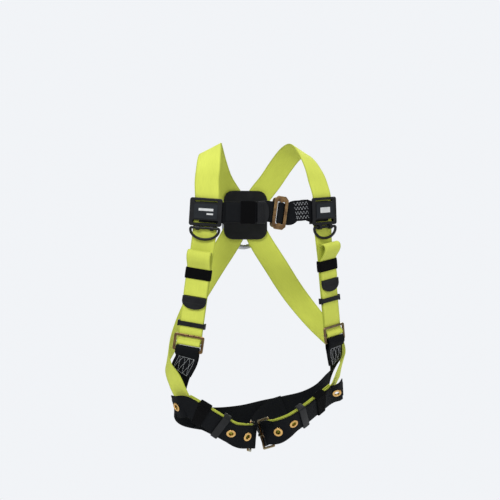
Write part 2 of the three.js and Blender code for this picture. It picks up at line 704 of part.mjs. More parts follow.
/** What is trimmed off one corner of the strap's end to round it. */
function tipCorner(edge) {
  const radius = 8;
  const middle = WEBBING_WIDTH / 2 - radius;
  const shape = new THREE.Shape();
  shape.moveTo(edge * middle, 2);
  shape.lineTo(edge * (middle + radius + 2), 2);
  shape.lineTo(edge * (middle + radius + 2), -radius);
  for (let step = 0; step <= 5; step += 1) {
    const angle = (step / 5) * (Math.PI / 2);
    shape.lineTo(edge * (middle + radius * Math.cos(angle)), radius * (Math.sin(angle) - 1));
  }
  return slab(shape, -4, 4, 0);
}

/** The hole through the webbing, and the flat seats pressed under the two flanges. */
function grommetSeats() {
  const { outer, height, pinch } = GROMMET;
  const press = height / 2 + 1;
  const flange = (centre) => new THREE.CylinderGeometry(outer / 2 + 0.4, outer / 2 + 0.4, press, 16)
    .rotateX(Math.PI / 2).translate(0, 0, centre);
  const hole = new THREE.CylinderGeometry(6, 6, 8, 12).rotateX(Math.PI / 2);
  const level = pinch - 0.1 + press / 2;
  return [hole, flange(level), flange(-level)];
}

/** Two flanges and a barrel, turned about z, clamped on the webbing. */
function grommet() {
  const { outer, hole, height, pinch } = GROMMET;
  const rim = outer / 2;
  const bore = hole / 2;
  const barrel = 5.6;
  const profile = [
    [bore, -height / 2], [rim - 0.8, -height / 2], [rim, -pinch], [barrel, -pinch], [barrel, pinch],
    [rim, pinch], [rim - 1.2, height / 2], [bore, height / 2], [bore, -height / 2],
  ].map(([radius, z]) => new THREE.Vector2(radius, z));
  return new THREE.LatheGeometry(profile, 12).rotateX(Math.PI / 2);
}

// ---- leg buckle: frame and the tongue that pins a grommet
function buildLegBuckle(side) {
  const frame = legBuckleFrame(side.sign);
  const { width, reach, bar } = LEG_BUCKLE;
  const outline = roundedRectangle(THREE.Shape, -width / 2, width / 2, -reach + bar / 2, bar / 2, 3);
  outline.holes.push(roundedRectangle(
    THREE.Path, -width / 2 + bar, width / 2 - bar, -reach + bar * 1.5, -bar / 2, 1));
  add(`leg_buckle_frame_${side.name}`, slab(outline, 2.2, 5.8, 0.7), bronze, frame);

  const pivot = new Frame(frame.point(0, 0, ROLL_RADIUS), frame.x, frame.z);
  const eye = cut(rod(5.4, 6), rod(3.5, 8));
  const arm = box(-2.3, 2.3, -38, -4, 2.2, 4.2);
  add(`leg_tongue_${side.name}`, cut(join(eye, arm), rod(3.5, 8)), bronze, pivot);
}

function buildLegKeepers(side) {
  const route = new Route(thighStations(side.sign, 0));
  const inner = { width: WEBBING_WIDTH + 3, back: BAND_LEVELS.under - 2.2, front: 4.4 };
  add(`leg_elastic_keeper_${side.name}`, sleeve(route, 0.72, 1.25, inner, 1.3, 3), elastic);
  const wide = { width: WEBBING_WIDTH + 4, back: BAND_LEVELS.under - 2.2, front: 3 };
  add(`leg_strap_keeper_${side.name}`, sleeve(route, 1.82, 2.25, wide, 2.4, 2), blackPlastic);
}

// ---- dorsal pad, hub and ring
function buildDorsal() {
  const { width, height, y, thickness, z } = PAD;
  const frame = new Frame(vec(0, y, z), vec(-1, 0, 0), vec(0, 1, 0));
  const outline = roundedRectangle(THREE.Shape, -width / 2, width / 2, -height / 2, height / 2, 18);
  add("dorsal_pad", slab(outline, 0, thickness, 1), blackPlastic, frame);
  const hubBack = thickness + 7.2;
  const hubShape = roundedRectangle(THREE.Shape, -45, 45, -19, 19, 8);
  const hub = slab(hubShape, hubBack, hubBack + 4, 0.8);
  const posts = [-1, 1].map((end) =>
    new THREE.CylinderGeometry(3, 3, 8, 16).rotateX(Math.PI / 2).translate(end * 39.5, 0, hubBack - 2.8));
  const pivotHeight = hubBack + 11;
  const knuckles = [-18, 18].map((x) => rod(9.4, 10, 4, pivotHeight, x));
  const hole = rod(6.9, 90, 4, pivotHeight);
  add("dorsal_hub", cut(join(hub, ...posts, ...knuckles), hole), blackPlastic, frame);

  const pivot = new Frame(frame.point(0, 4, pivotHeight), frame.x, frame.z);
  const ring = halfRound(THREE.Shape, 42, 5, -24, -70);
  ring.holes.push(halfRound(THREE.Path, 32, -5, -24, -60));
  add("dorsal_ring", slab(ring, -5, 5, 2, 7), steel, pivot);
}

for (const side of SIDES) {
  buildShoulderStrap(side);
  buildTorsoStrap(side);
  buildTailTab(side);
  buildTorsoKeepers(side);
  buildAdjuster(side);
  buildChestPlate(side);
  buildHipStrap(side);
  buildBackStrap(side);
  buildThighStrap(side);
  buildLegStrap(side);
  buildLegBuckle(side);
  buildLegKeepers(side);
}
buildSeatStrap();
buildChestStraps();
buildChestBuckle();
buildChestKeeper();
buildDorsal();

export default harness;
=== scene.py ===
"""Looks of the safety harness, on the frame of its CAD part.  Lengths are in millimetres until a
mesh is made; the scene itself is in metres."""
import json
import math

import bmesh
import bpy
from mathutils import Matrix, Vector


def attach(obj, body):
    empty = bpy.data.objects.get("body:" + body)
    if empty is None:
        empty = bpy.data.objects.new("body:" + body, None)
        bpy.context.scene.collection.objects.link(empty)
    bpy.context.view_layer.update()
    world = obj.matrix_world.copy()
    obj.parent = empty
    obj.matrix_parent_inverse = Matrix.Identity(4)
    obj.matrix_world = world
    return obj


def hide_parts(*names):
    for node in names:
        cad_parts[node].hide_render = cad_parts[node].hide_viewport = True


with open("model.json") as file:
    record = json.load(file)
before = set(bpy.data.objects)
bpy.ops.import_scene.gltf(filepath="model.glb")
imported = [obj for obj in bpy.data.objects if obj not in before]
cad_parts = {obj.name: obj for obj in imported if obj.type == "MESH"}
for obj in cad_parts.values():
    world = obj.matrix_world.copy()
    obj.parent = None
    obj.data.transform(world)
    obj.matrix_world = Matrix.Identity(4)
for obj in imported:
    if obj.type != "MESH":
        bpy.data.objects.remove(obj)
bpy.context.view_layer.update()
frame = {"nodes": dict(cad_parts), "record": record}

MM = 0.001
ROOT = "webbing_set"
BODY_OF = {node: body for body, nodes in frame["record"]["behaviour"]["bodies"].items() for node in nodes}
SLOT_OF = {part["node"]: part["material_slot"] for part in frame["record"]["subparts"]}

# ------------------------------------------------------------------ dimensions of the worn harness
WIDTH, CHEST_WIDTH, THICKNESS, PITCH = 45.0, 38.0, 2.0, 2.8
HIP_DROP, LEG_SHIFT = 7.5, 5.0
PLATE_CENTRE, PLATE_RUN = Vector((110, -65, -118)), Vector((0.05, 0.06, -1))
LOOP_Y, LOOP_Z = -30.8, 6.4
TORSO_TOP, TORSO_SLOPE = Vector((111.4, -63.3, -146)), Vector((0.121, 0.11, -1))
ADJUSTER_HEIGHT = -352.0
CHEST_DEPTH, CHEST_CURVE, CHEST_BUCKLE_X, CHEST_LEAN = -96.0, 0.00255, 17.0, 8.0
PAD_Z, CROSS_DEPTH = -122.0, 85.8
SIDES = [
    dict(name="right", sign=-1, elastic=-229, tab=-281, keeper=-319, rise=0, plate_yaw=20, yaw=28,
         turn=0, inset=0, outer_grommet=20.5,
         tip=[(156, -22, -470, 0.86, -0.36, -0.3), (149, -38, -469, 0.76, -0.5, -0.4)]),
    dict(name="left", sign=1, elastic=-220, tab=-259, keeper=-286, rise=3, plate_yaw=26, yaw=33,
         turn=12, inset=6, outer_grommet=19.7,
         tip=[(162, -40, -456, 0.48, -0.82, -0.28), (151, -49, -462, 0.55, -0.72, -0.44)]),
]
SHOULDER_LINE = [
    (107.5, -59, -64, 0.28, -0.9, 0.3), (103, -50, -38, 0.3, -0.75, 0.6), (96, -28, -14, 0.38, -0.4, 0.83),
    (87, 0, 0, 0.48, 0, 0.88), (77, 30, -6, 0.42, 0.4, 0.82), (64, 58, -28, 0.28, 0.75, 0.6),
    (48, 79, -58, 0.12, 0.95, 0.3), (34, 85.8, -78, 0, 1, 0.05), (20, 86, -97, 0, 1, 0)]
TURN_SHARE = [0.6, 1, 1, 0.6, 0.2, 0, 0, 0, 0]
ADJUSTER_ROLL = [
    (12, 0), (4, 0), (0, 0), (-2.83, 1.17), (-4, 4), (-2.83, 6.83), (0, 8), (3.2, 7), (6.6, 4.4),
    (11, 2.9), (17, PITCH), (26, PITCH)]
SLACK_FOLD = [
    (0, 2.8), (10, 3), (21, 4.4), (28, 8), (31, 13.5), (28.5, 19), (22, 20.5), (14, 17), (6, 10.4), (0, 6.2)]
HIP_LINE = [
    (142, -42, -381, 0.55, -0.83, -0.05), (149, -30, -404, 0.68, -0.72, -0.1),
    (148.5, -13, -428, 0.86, -0.48, -0.15), (145.5, 11, -451, 0.97, 0, -0.2),
    (141, 45, -475, 0.84, 0.5, -0.15), (121, 75, -492, 0.58, 0.8, -0.12)]
HIP_ROLL = [(-19, 1.9), (-15, 1.4), (-10.6, 1.8), (-6.7, 3.8), (-6.7, 8), (-10.6, 10.1), (-15, 10.4), (-19, 9.4)]
SEAT_LINE = [(90, 97, -502, 0.3, 0.94, -0.1), (50, 107, -509, 0.12, 0.98, -0.08)]
SEAT_MIDDLE = Vector((0, 110, -512))
BACK_LINE = [
    (18, 86.2, -150, 0, 1, 0), (34, 89, -178, 0.03, 1, 0.03), (60, 93, -218, 0.14, 0.98, 0.05),
    (96, 88, -276, 0.45, 0.88, 0.05), (131, 64, -328, 0.75, 0.65, 0), (155, 31, -362, 0.94, 0.32, 0)]
HIP_WRAP_LINE = [
    (168, 4, -385, 1, 0.02, 0.02), (167.5, -13, -404, 0.97, -0.12, -0.1), (158, -27, -423, 0.86, -0.42, -0.25),
    (149, -32, -442, 0.78, -0.45, -0.42)]
THIGH_LINE = [
    (139, -44, -466, 0.55, -0.7, -0.46), (114, -57, -481, 0.42, -0.72, -0.53),
    (78, -66, -505, 0.28, -0.78, -0.55), (59, -67, -516, 0.15, -0.8, -0.57),
    (42, -63, -523, -0.12, -0.86, -0.45), (28, -54, -528, -0.55, -0.78, -0.28),
    (18.5, -40, -530, -0.95, -0.3, -0.1), (14.5, -14, -534, -0.995, -0.05, -0.05)]
HINGE_STATION, BAND_UNDER, BAND_OVER = 6, -6.2, -3.3
LEG_ROLL = [(3.5, 7.6), (0, 8), (-2.83, 6.83), (-4, 4), (-2.83, 1.17), (0, 0), (4, 0)]
LEG_REAR_LINE = [
    (86, 92.5, -500, 0.3, 0.94, -0.1), (64, 98.5, -509, 0.15, 0.97, -0.12), (44, 96, -523, -0.05, 0.9, -0.4),
    (27, 72, -536, -0.5, 0.4, -0.75), (17, 36, -541, -0.9, 0.1, -0.4)]
LEG_PASS = [
    (-44, -3), (-36, -1.8), (-29, -1.6), (-22.6, 0.5), (-19, 4.2), (-16, 7.5), (-13, 10.8), (-8.6, 14.4),
    (2, 14.8)]
LEG_RISE = [3, 2, 1, 1.6, 3, 5.4]
GROMMET_STATIONS = dict(buckle=10, inner=14.3, middle=16)
BAR_ROLL = [(-20, 1.3), (-15, 2), (-11, 2.5), (-8.4, 3.5), (-7.4, 5.7), (-8.4, 7.9), (-11, 8.8), (-15, 8.7),
            (-20, 6.8), (-25, 4.3)]
BAR_PASS = [(22, -0.4), (14, -0.2), (8, 0.4), (2.5, 2.6), (-1.6, 6), (-4, 9.4), (-4.6, 12.4), (-3.4, 14.8),
            (0, 15.5), (3.4, 14.8), (4.6, 12.4), (4.8, 9.4), (5.6, 6), (8.5, 3.6), (13, 2.6), (22, 2.4)]
FOLD_BACK = [(-74, 2.9), (-76.2, 3.2), (-77.2, 4.3), (-76.2, 5.4), (-74, 5.7)]
RING_PIVOT = Vector((0, 102.2, PAD_Z + 4))
# sleeves: inner width, back and front from the strap's middle, then the wall
ELASTIC_LENGTH, ELASTIC_INNER, ELASTIC_WALL = 20, (46.4, -1.7, PITCH * 2 + 1.8), 1.2
LEG_ELASTIC_INNER = (48, BAND_UNDER - 2.2, 4.4)
LEG_KEEPER_INNER, LEG_KEEPER_WALL = (49, BAND_UNDER - 2.2, 3), 2.3
CHEST_KEEPER_INNER, CHEST_KEEPER_WALL = (CHEST_WIDTH + 2, -2, PITCH * 2 + 2.1), 1.1
MARK_BACK, MARK_FRONT = 8.6, 8.95  # the plain marks lie on the labels


# ------------------------------------------------------------------ frames and routes
class Frame:
    """Right-handed axes at a point: x, y = z cross x, and z away from the wearer."""

    def __init__(self, origin, x, z):
        self.origin = origin.copy()
        self.z = z.normalized()
        self.x = (x - self.z * x.dot(self.z)).normalized()
        self.y = self.z.cross(self.x)

    def point(self, x, y, z):
        return self.origin + self.x * x + self.y * y + self.z * z


def spline(points, t):
    last = len(points) - 1
    place = t * last
    i = min(int(math.floor(place)), last - 1)
    w = place - i
    p1, p2 = points[i], points[i + 1]
    p0 = points[i - 1] if i > 0 else points[0] * 2 - points[1]
    p3 = points[i + 2] if i + 2 <= last else points[last] * 2 - points[last - 1]
    d0, d1, d2 = (math.pow((b - a).length_squared, 0.25) for a, b in ((p0, p1), (p1, p2), (p2, p3)))
    d1 = 1.0 if d1 < 1e-4 else d1
    d0 = d1 if d0 < 1e-4 else d0
    d2 = d1 if d2 < 1e-4 else d2
    m1 = ((p1 - p0) / d0 - (p2 - p0) / (d0 + d1) + (p2 - p1) / d1) * d1
    m2 = ((p2 - p1) / d1 - (p3 - p1) / (d1 + d2) + (p3 - p2) / d2) * d1
    return p1 + m1 * w + (p1 * -3 + p2 * 3 - m1 * 2 - m2) * w * w + (p1 * 2 - p2 * 2 + m1 + m2) * w ** 3


class Route:
    def __init__(self, stations):
        self.count = len(stations)
        self.places = [place for place, _ in stations]
        self.widths = [across for _, across in stations]

    def frame_at(self, station):
        t = min(max(station / (self.count - 1), 0), 1)
        low, high = max(t - 1e-4, 0), min(t + 1e-4, 1)
        along = (spline(self.places, high) - spline(self.places, low)).normalized()
        across = spline(self.widths, t)
        across = (across - along * across.dot(along)).normalized()
        return Frame(spline(self.places, t), across, along.cross(across))

    def frames(self, first, last, steps):
        return [self.frame_at(first + (last - first) * k / steps) for k in range(steps + 1)]


def clamp(value, low, high):
    return min(max(value, low), high)


def settle(p):
    rise = HIP_DROP * clamp((-120 - p.z) / 230, 0, 1) * clamp(p.x / 60, -1, 1)
    shift = LEG_SHIFT * clamp((-380 - p.z) / 90, 0, 1) * clamp(abs(p.x) / 60, 0, 1)
    return Vector((p.x - shift, p.y, p.z + rise))


def body_stations(rows, sign, lift=0.0):
    places = [Vector(row[:3]) for row in rows]
    stations = []
    for index, row in enumerate(rows):
        along = (places[min(index + 1, len(rows) - 1)] - places[max(index - 1, 0)]).normalized()
        face = Vector(row[3:6])
        face = (face - along * face.dot(along)).normalized()
        at = places[index] + face * (lift + (row[6] if len(row) > 6 else 0))
        for v in (at, along, face):
            v.x *= sign
        stations.append((settle(at), face.cross(along)))
    return stations


def flip(stations):
    return [(at, -across) for at, across in stations]


def fold(frame_, points):
    return [(frame_.point(0, y, z), frame_.x.copy()) for y, z in points]


def side_frame(place, run, yaw, sign):
    along = Vector((run.x * sign, run.y, run.z)).normalized()
    angle = math.radians(yaw)
    face = Vector((sign * math.sin(angle), -math.cos(angle), 0))
    face = (face - along * face.dot(along)).normalized()
    return Frame(settle(Vector((place.x * sign, place.y, place.z))), face.cross(along), face)


def plate_frame(side):
    return side_frame(PLATE_CENTRE + Vector((0, 0, side["rise"])), PLATE_RUN, side["plate_yaw"], side["sign"])


def torso_frame(height, side):
    drop = TORSO_TOP.z - height
    turn = clamp(drop / 40, 0, 1)
    yaw = (side["plate_yaw"] + 3) * (1 - turn) + side["yaw"] * turn
    return side_frame(TORSO_TOP + TORSO_SLOPE * drop, TORSO_SLOPE, yaw, side["sign"])


def torso_station(height, side, lift=0.0):
    at = torso_frame(height, side)
    return (at.point(0, 0, lift), at.x)


def chest_frame(x):
    face = Vector((2 * CHEST_CURVE * x, -1, 0)).normalized()
    if x > CHEST_BUCKLE_X:
        z = -121.5 + (x - CHEST_BUCKLE_X) * 0.11
    else:
        z = -120 - (x + 80) * 0.015
    return Frame(Vector((x, CHEST_DEPTH + CHEST_CURVE * x * x, z)), Vector((-face.y, face.x, 0)), face)


def chest_station(x, lift):
    at = chest_frame(x)
    return (at.point(0, 0, lift), at.y)


def buckle_frame():
    level = chest_frame(CHEST_BUCKLE_X)
    lean = math.radians(CHEST_LEAN)
    return Frame(level.origin, level.x * math.cos(lean) - level.y * math.sin(lean), level.z)


def buckle_stations(points):
    at = buckle_frame()
    return [(at.point(x, 0, z), at.y) for x, z in points]


def plate_stations(side, points):
    at = plate_frame(side)
    return [(at.point(-side["sign"] * x, -1.6, 2.75), at.y) for x in points]


def leg_buckle_frame(sign):
    return Route(body_stations(THIGH_LINE, sign, BAND_UNDER)).frame_at(HINGE_STATION)


# ------------------------------------------------------------------ routes of the straps
def shoulder_route(side):
    rows = []
    for share, (x, y, z, *face) in zip(TURN_SHARE, SHOULDER_LINE):
        turned = Matrix.Rotation(math.radians(side["turn"] * share), 3, "Z") @ Vector(face)
        rows.append((x - side["inset"] * share, y, z, *turned))
    stations = body_stations(rows, side["sign"])
    layer = PITCH if side["sign"] > 0 else 0
    for at, _ in stations[-2:]:
        at.y += layer
    crossing = (Vector((side["sign"] * 0.2, CROSS_DEPTH + layer, PAD_Z + 0.3)), stations[-1][1])
    start = flip(fold(plate_frame(side), [(0.3, 0), (14, 0), (27, 0)]))
    return Route([*start, *stations, crossing])


def torso_route(side):
    base = side["elastic"] + 11
    level = [torso_station(h, side) for h in (-165, -190, -245, -325)]
    second = [torso_station(h, side, PITCH) for h in (-300, side["elastic"] - 20)]
    third = [torso_station(h, side, PITCH * 2) for h in (base - 8, side["elastic"] - 10, side["tab"] + 12.6)]
    return Route([
        *fold(plate_frame(side), [(-0.3, 0), (-14, 0), (-26, 0)]), *level,
        *fold(torso_frame(ADJUSTER_HEIGHT, side), ADJUSTER_ROLL), *second,
        *fold(torso_frame(base, side), SLACK_FOLD), *third])


def hip_stations(side):
    under = body_stations(HIP_LINE[:2], side["sign"], -PITCH)[::-1]
    roll = fold(torso_frame(ADJUSTER_HEIGHT, side), HIP_ROLL)
    return [*under, *roll, *body_stations(HIP_LINE + SEAT_LINE, side["sign"])]


def seat_route():
    right, left = (hip_stations(side) for side in SIDES)
    return Route([*right, (settle(SEAT_MIDDLE), Vector((0, 0, -1))), *flip(left[::-1])])


def back_route(side):
    sign = side["sign"]
    layer = 0 if sign > 0 else PITCH
    down = body_stations(BACK_LINE + HIP_WRAP_LINE, sign)
    for (at, _), share in zip(down, (1, 1, 1, 0.5)):
        at.y += layer * share
    crossing = (Vector((sign * 0.2, CROSS_DEPTH + layer, PAD_Z - 0.3)), down[0][1])
    over = body_stations(THIGH_LINE, sign, BAND_OVER)[:HINGE_STATION]
    under = body_stations(THIGH_LINE, sign, BAND_UNDER)[:HINGE_STATION][::-1]
    return Route([crossing, *down, *over, *fold(leg_buckle_frame(sign), LEG_ROLL), *under])


def leg_route(side):
    sign = side["sign"]
    rear = flip(body_stations(LEG_REAR_LINE, sign))
    lifted = [(*row, LEG_RISE[k] if k < len(LEG_RISE) else 0) for k, row in enumerate(THIGH_LINE)]
    over = body_stations(lifted, sign)[:HINGE_STATION][::-1]
    tip = body_stations([*side["tip"], THIGH_LINE[0]], sign)[:2][::-1]
    return Route([*rear, *fold(leg_buckle_frame(sign), LEG_PASS), *over, *tip])


def chest_right_route():
    return Route([
        *plate_stations(SIDES[0], (-12, 8, 28)),
        *(chest_station(x, 0.8 if x < -70 else 0) for x in (-74, -60, -40, -20)),
        *buckle_stations(BAR_ROLL), *(chest_station(x, PITCH) for x in (-24, -40, -60)),
        *(chest_station(x, lift) for x, lift in FOLD_BACK),
        *(chest_station(x, PITCH * 2) for x in (-60, -40, -24))])


def chest_left_route():
    return Route([
        *plate_stations(SIDES[1], (-12, 8, 28)),
        *(chest_station(x, 0.8 if x > 70 else 0) for x in (74, 60, 48)),
        *buckle_stations(BAR_PASS),
        *(chest_station(x, PITCH + (0.8 if x > 70 else 0)) for x in (48, 62, 78))])


# ------------------------------------------------------------------ materials
def links(material):
    material.use_nodes = True
    tree = material.node_tree
    tree.nodes.clear()

    def node(kind, **inputs):
        made = tree.nodes.new(kind)
        for name, value in inputs.items():
            if name.startswith("_"):
                setattr(made, name[1:], value)
                continue
            socket = made.inputs[int(name[1:])] if name[0] == "i" and name[1:].isdigit() else made.inputs[
                name.replace("_", " ")]
            if isinstance(value, bpy.types.NodeSocket):
                tree.links.new(value, socket)
            else:
                socket.default_value = value
        return made

    return tree, node


def math_node(node, operation, a, b=0.0):
    return node("ShaderNodeMath", _operation=operation, i0=a, i1=b).outputs[0]


def mix_colour(node, factor, a, b):
    return node("ShaderNodeMix", _data_type="RGBA", i0=factor, i6=a, i7=b).outputs[2]


def woven(name, deep, light, rib, pick, roughness, edge, bump=0.35, gloss=0.4):
    """Narrow woven webbing: warp ribs along the strap, picks across it, painted shade in the low places of the
    weave, firm darker selvedges.
    """
    material = bpy.data.materials.new(name)
    tree, node = links(material)
    uv = node("ShaderNodeUVMap", _uv_map="strap").outputs[0]
    parts = node("ShaderNodeSeparateXYZ", i0=uv)
    u, v = parts.outputs[0], parts.outputs[1]
    column = math_node(node, "MULTIPLY", u, 1 / rib)
    warp = math_node(node, "ABSOLUTE", math_node(node, "SINE", math_node(node, "MULTIPLY", column, math.pi)))
    half = math_node(node, "MULTIPLY", math_node(node, "FLOOR", column), 0.5)
    row = math_node(node, "ADD", math_node(node, "MULTIPLY", v, 1 / pick), half)
    weft = math_node(node, "ABSOLUTE", math_node(node, "SINE", math_node(node, "MULTIPLY", row, math.pi)))
    raised = math_node(node, "ADD", math_node(node, "MULTIPLY", weft, 0.55), 0.45)
    height = math_node(node, "MULTIPLY", warp, raised)
    stretched = node("ShaderNodeMapping", i0=uv, Scale=(900.0, 60.0, 1.0))
    yarn = node("ShaderNodeTexNoise", Vector=stretched.outputs[0], Scale=1.0, Detail=3.0).outputs[0]
    coarse = node("ShaderNodeMapping", i0=uv, Scale=(30.0, 12.0, 1.0))
    cloud = node("ShaderNodeTexNoise", Vector=coarse.outputs[0], Scale=1.0, Detail=2.0).outputs[0]
    side = math_node(node, "ABSOLUTE", u)
    selvedge = node("ShaderNodeMapRange", Value=side, i1=edge - 0.0028, i2=edge - 0.0012, i3=0.0,
                    i4=0.35).outputs[0]
    # painted shade: the weave's low places between ribs and picks are coloured darker; the yarn and cloud noise is
    # the yarn's own uneven tone
    shade = math_node(node, "ADD", math_node(node, "MULTIPLY", height, 0.45),
                      math_node(node, "ADD", math_node(node, "MULTIPLY", yarn, 0.35),
                                math_node(node, "MULTIPLY", cloud, 0.35)))
    shade = math_node(node, "SUBTRACT", shade, selvedge)
    factor = node("ShaderNodeClamp", i0=shade).outputs[0]
    colour = mix_colour(node, factor, (*deep, 1), (*light, 1))
    relief = math_node(node, "ADD", height, math_node(node, "MULTIPLY", yarn, 0.5))
    fine = node("ShaderNodeBump", Strength=bump, Distance=0.0004, Height=relief)
    wave = node("ShaderNodeBump", Strength=0.35, Distance=0.0016, Height=cloud, Normal=fine.outputs[0])
    shader = node("ShaderNodeBsdfPrincipled", Base_Color=colour, Roughness=roughness, Normal=wave.outputs[0])
    shader.inputs["Specular IOR Level"].default_value = gloss
    out = node("ShaderNodeOutputMaterial")
    tree.links.new(shader.outputs[0], out.inputs[0])
    return material


ROUGH_SPAN = 0.12  # how far the roughness of a solid surface varies


def solid(name, deep, light, roughness, metallic, grain=900.0, bump=0.08, patch=60.0, painted_sheen=None):
    """Plastic or metal with patchy colour, fine surface grain and, on plated metal, a painted sheen: a tint where
    the surface is seen edge-on.
    """
    material = bpy.data.materials.new(name)
    tree, node = links(material)
    place = node("ShaderNodeTexCoord").outputs["Object"]
    patchy = node("ShaderNodeTexNoise", Vector=place, Scale=patch, Detail=3.0, Roughness=0.6).outputs[0]
    spread = node("ShaderNodeMapRange", Value=patchy, i1=0.32, i2=0.68, i3=0.0, i4=1.0).outputs[0]
    colour = mix_colour(node, spread, (*deep, 1), (*light, 1))
    if painted_sheen:
        # painted sheen: towards a grazing view the colour turns to the tint, standing in for an iridescent
        # reflection
        facing = node("ShaderNodeLayerWeight", Blend=0.35).outputs[1]
        colour = mix_colour(node, facing, colour, (*painted_sheen, 1))
    speck = node("ShaderNodeTexNoise", Vector=place, Scale=grain, Detail=2.0).outputs[0]
    rough = node("ShaderNodeMapRange", Value=patchy, i1=0.2, i2=0.8, i3=roughness - ROUGH_SPAN / 2,
                 i4=roughness + ROUGH_SPAN / 2).outputs[0]
    normal = node("ShaderNodeBump", Strength=bump, Distance=0.0003, Height=speck).outputs[0]
    shader = node("ShaderNodeBsdfPrincipled", Base_Color=colour, Roughness=rough, Metallic=metallic,
                  Normal=normal)
    shader.inputs["Specular IOR Level"].default_value = 0.5 if metallic else 0.24
    out = node("ShaderNodeOutputMaterial")
    tree.links.new(shader.outputs[0], out.inputs[0])
    return material


YELLOW = ((0.36, 0.41, 0.042), (0.74, 0.80, 0.115))
BLACK = ((0.0008, 0.001, 0.0015), (0.0036, 0.0047, 0.0066))
ELASTIC = ((0.0006, 0.0006, 0.0007), (0.0025, 0.0025, 0.003))
RIB, PICK = 0.0016, 0.0019
MATERIALS = {
    "yellow_webbing": woven("yellow_webbing", *YELLOW, RIB, PICK, 0.78, WIDTH / 2 * MM),
    "black_webbing": woven("black_webbing", *BLACK, RIB, PICK, 0.66, WIDTH / 2 * MM, 0.6, 0.1),
    "chest_webbing": woven("chest_webbing", *BLACK, RIB, PICK, 0.66, CHEST_WIDTH / 2 * MM, 0.6, 0.12),
    "elastic": woven("elastic", *ELASTIC, 0.0009, 0.0014, 0.95, 0.05, 0.8, 0.1),
    "black_plastic": solid("black_plastic", (0.0035, 0.004, 0.005), (0.0075, 0.008, 0.0095), 0.4, 0.0,
                           1400.0, 0.12),
    # the bronze's tint at a grazing view is a painted sheen
    "bronze": solid("bronze", (0.11, 0.055, 0.03), (0.29, 0.17, 0.07), 0.28, 1.0, 500.0, 0.05, 90.0,
                    painted_sheen=(0.40, 0.40, 0.24)),
    "brass": solid("brass", (0.52, 0.30, 0.10), (0.72, 0.46, 0.17), 0.27, 1.0, 600.0, 0.05, 120.0),
    "steel": solid("steel", (0.36, 0.37, 0.39), (0.48, 0.49, 0.51), 0.3, 1.0, 500.0, 0.06),
    "label": solid("label", (0.006, 0.0085, 0.0115), (0.011, 0.014, 0.018), 0.6, 0.0, 2500.0, 0.25),
    "thread": solid("thread", (0.30, 0.31, 0.32), (0.46, 0.47, 0.48), 0.7, 0.0, 3000.0, 0.3),
    "print": solid("print", (0.55, 0.56, 0.56), (0.66, 0.67, 0.67), 0.6, 0.0, 2500.0, 0.1),
}


# ------------------------------------------------------------------ making pieces
def make_object(name, verts, faces, uvs=None, material=None, smooth=True):
    """verts in millimetres; uvs per face corner, in metres."""
    mesh = bpy.data.meshes.new(name)
    mesh.from_pydata([v * MM for v in verts], [], faces)
    if uvs:
        layer = mesh.uv_layers.new(name="strap")
        flat = [c for uv in uvs for c in uv]
        layer.data.foreach_set("uv", flat)
    obj = bpy.data.objects.new(name, mesh)
    bpy.context.scene.collection.objects.link(obj)
    if smooth:
        mesh.shade_smooth()
        mesh.set_sharp_from_angle(angle=math.radians(40))
    if material:
        mesh.materials.append(MATERIALS[material])
    return obj


def finish_piece(obj, *nodes):
    """The piece stands for these CAD nodes, and takes the body of the first."""
    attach(obj, BODY_OF[nodes[0]])
    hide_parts(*nodes)


def strap_section(width):
    """Outline of flat webbing with firm rounded edges."""
    half, edge, t = width / 2, 1.1, THICKNESS / 2
    steps = 6
    top = [(-half + edge + (width - 2 * edge) * k / steps, t) for k in range(steps + 1)]
    right = [(half - 0.35, t * 0.72), (half, 0.0), (half - 0.35, -t * 0.72)]
    bottom = [(x, -t) for x, _ in reversed(top)]
    left = [(-half + 0.35, -t * 0.72), (-half, 0.0), (-half + 0.35, t * 0.72)]
    return top + right + bottom + left


def loft(name, frames, section, material, closed=False):
    """A solid through the frames; the section is a ring of (x, z) in each frame."""
    count = len(section)
    verts, lengths = [], [0.0]
    for k, at in enumerate(frames):
        if k:
            lengths.append(lengths[-1] + (at.origin - frames[k - 1].origin).length)
        verts += [at.origin + at.x * x + at.z * z for x, z in section]
    faces, uvs = [], []
    rings = len(frames)
    for k in range(rings if closed else rings - 1):
        a, b = k * count, ((k + 1) % rings) * count
        v0, v1 = lengths[k] * MM, (lengths[k + 1] if k + 1 < rings else lengths[k] + 2) * MM
        for i in range(count):
            j = (i + 1) % count
            faces.append((a + i, b + i, b + j, a + j))
            u0, u1 = section[i][0] * MM, section[j][0] * MM
            uvs += [(u0, v0), (u0, v1), (u1, v1), (u1, v0)]
    if not closed:
        for ring, order in ((0, 1), (rings - 1, -1)):
            ids = [ring * count + i for i in range(count)][::order]
            faces.append(tuple(ids))
            uvs += [(section[i % count][0] * MM, lengths[ring] * MM) for i in ids]
    obj = make_object(name, verts, faces, uvs, material)
    fix_normals(obj)
    return obj


def fix_normals(obj):
    bm = bmesh.new()
    bm.from_mesh(obj.data)
    bmesh.ops.recalc_face_normals(bm, faces=bm.faces)
    bm.to_mesh(obj.data)
    bm.free()


def webbing(name, route, material, width=WIDTH, span=8):
    steps = (route.count - 1) * span
    return loft(name, route.frames(0, route.count - 1, steps), strap_section(width), material)


def rounded_ring(width, back, front, radius, corner=4):
    """Rectangle outline with round corners, centred in x, from back to front in z."""
    x, pts = width / 2, []
    corners = [(x - radius, front - radius, 0), (-x + radius, front - radius, 90),
               (-x + radius, back + radius, 180), (x - radius, back + radius, 270)]
    for cx, cz, start in corners:
        for k in range(corner + 1):
            angle = math.radians(start + 90 * k / corner)
            pts.append((cx + radius * math.cos(angle), cz + radius * math.sin(angle)))
    return pts


